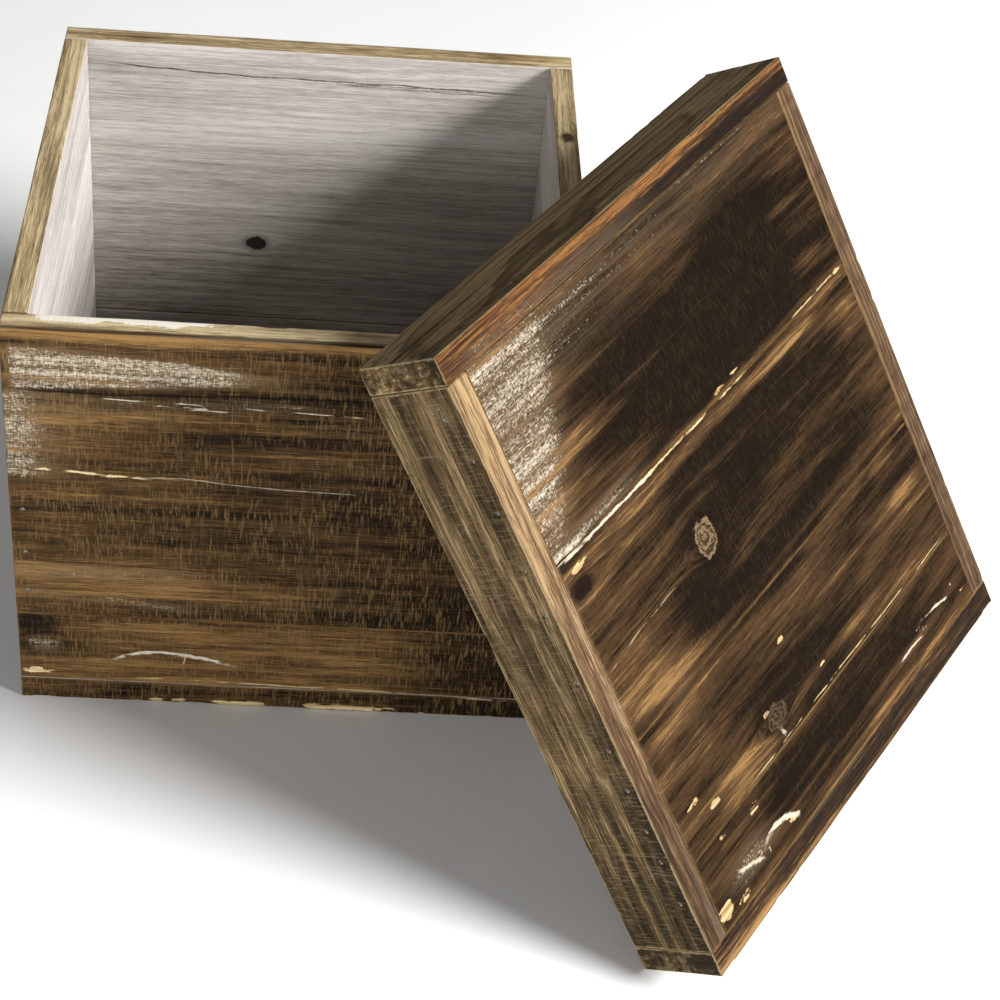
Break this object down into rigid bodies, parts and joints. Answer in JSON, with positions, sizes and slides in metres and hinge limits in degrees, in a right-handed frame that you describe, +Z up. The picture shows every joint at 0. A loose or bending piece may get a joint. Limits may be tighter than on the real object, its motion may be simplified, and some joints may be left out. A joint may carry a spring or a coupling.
{
  "type": "lidded wooden box",
  "caption": "Open-topped box of nailed dark-stained boards, with its loose tray-shaped lid taken off and leaning on the box's front right top corner.",
  "frame": {"origin": "middle of the box's underside, on the surface it stands on", "axes": "+X to the box's right, +Y to its back, +Z up"},
  "size_m": [0.4769, 0.4059, 0.2736],
  "materials": {
    "wall_wood": "scorched and stained pine, brushed, with whitewash traces; pale grey-white inside",
    "floor_wood": "pale unfinished pine",
    "lid_rail_wood": "weathered grey-brown pine, tan on the top edges",
    "lid_panel_wood": "scorched and stained pine, worn to cream along the seams",
    "nail_steel": "dark steel"
  },
  "bodies": {
    "box": {"back_left_nail_1": "nail_steel", "back_left_nail_2": "nail_steel", "back_left_nail_3": "nail_steel", "back_lower_board": "wall_wood", "back_right_nail_1": "nail_steel", "back_right_nail_2": "nail_steel", "back_right_nail_3": "nail_steel", "back_upper_board": "wall_wood", "floor_board_1": "floor_wood", "floor_board_2": "floor_wood", "floor_board_3": "floor_wood", "front_left_nail_1": "nail_steel", "front_left_nail_2": "nail_steel", "front_left_nail_3": "nail_steel", "front_left_nail_4": "nail_steel", "front_left_nail_5": "nail_steel", "front_left_nail_6": "nail_steel", "front_left_nail_7": "nail_steel", "front_lower_board": "wall_wood", "front_right_nail_1": "nail_steel", "front_right_nail_2": "nail_steel", "front_right_nail_3": "nail_steel", "front_right_nail_4": "nail_steel", "front_right_nail_5": "nail_steel", "front_right_nail_6": "nail_steel", "front_right_nail_7": "nail_steel", "front_upper_board": "wall_wood", "left_lower_board": "wall_wood", "left_upper_board": "wall_wood", "right_lower_board": "wall_wood", "right_upper_board": "wall_wood"},
    "lid": {"lid_corner_nail_1": "nail_steel", "lid_corner_nail_2": "nail_steel", "lid_corner_nail_3": "nail_steel", "lid_corner_nail_4": "nail_steel", "lid_foot_rail": "lid_rail_wood", "lid_left_nail_1": "nail_steel", "lid_left_nail_10": "nail_steel", "lid_left_nail_2": "nail_steel", "lid_left_nail_3": "nail_steel", "lid_left_nail_4": "nail_steel", "lid_left_nail_5": "nail_steel", "lid_left_nail_6": "nail_steel", "lid_left_nail_7": "nail_steel", "lid_left_nail_8": "nail_steel", "lid_left_nail_9": "nail_steel", "lid_left_rail": "lid_rail_wood", "lid_plank_1": "lid_panel_wood", "lid_plank_2": "lid_panel_wood", "lid_plank_3": "lid_panel_wood", "lid_plank_4": "lid_panel_wood", "lid_right_rail": "lid_rail_wood", "lid_top_nail_1": "nail_steel", "lid_top_nail_2": "nail_steel", "lid_top_nail_3": "nail_steel", "lid_top_nail_4": "nail_steel", "lid_top_nail_5": "nail_steel", "lid_top_nail_6": "nail_steel", "lid_top_nail_7": "nail_steel", "lid_top_rail": "lid_rail_wood"}
  },
  "joints": [
    {"name": "lid_lift", "type": "slide", "parent": "box", "child": "lid", "axis": [0, 0, 1], "range_m": [0, 0.25]}
  ]
}
